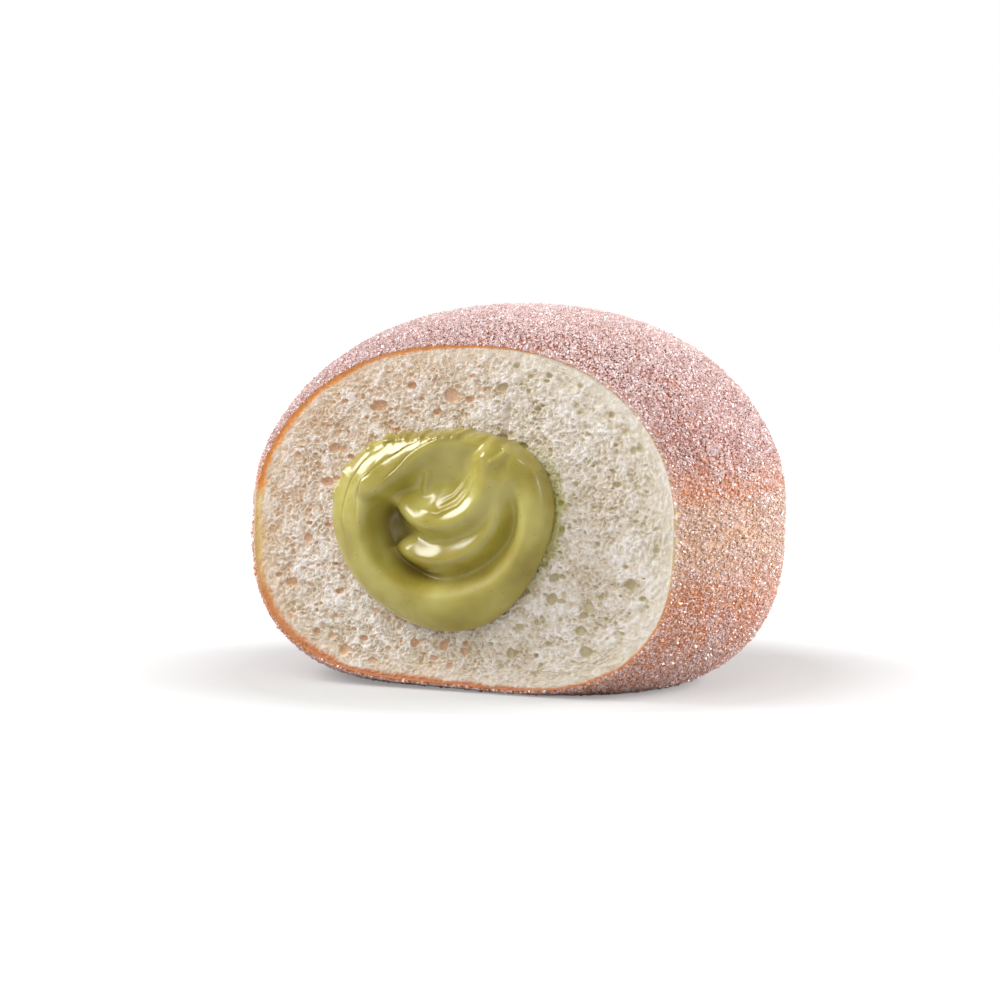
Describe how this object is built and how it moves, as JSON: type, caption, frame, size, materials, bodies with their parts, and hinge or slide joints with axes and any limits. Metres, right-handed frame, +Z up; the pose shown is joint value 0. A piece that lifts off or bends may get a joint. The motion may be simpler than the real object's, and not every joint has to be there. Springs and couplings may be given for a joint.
{
  "type": "cut cream-filled doughnut",
  "caption": "Tall round sugared doughnut with its front sliced off, showing pale crumb and a folded swell of pistachio cream.",
  "frame": {"origin": "middle of the object's box, on the surface that it rests on", "axes": "+Z up; the cut face looks towards -Y; +X is to the right of the cut face seen from the front, and is the longest extent"},
  "size_m": [0.0822, 0.0632, 0.0565],
  "materials": {
    "fried_dough": "matte",
    "crumb": "matte",
    "pistachio_cream": "satin",
    "sugar": "sparkling"
  },
  "bodies": {
    "root": {"dough": "fried_dough", "cream": "pistachio_cream"}
  },
  "joints": []
}
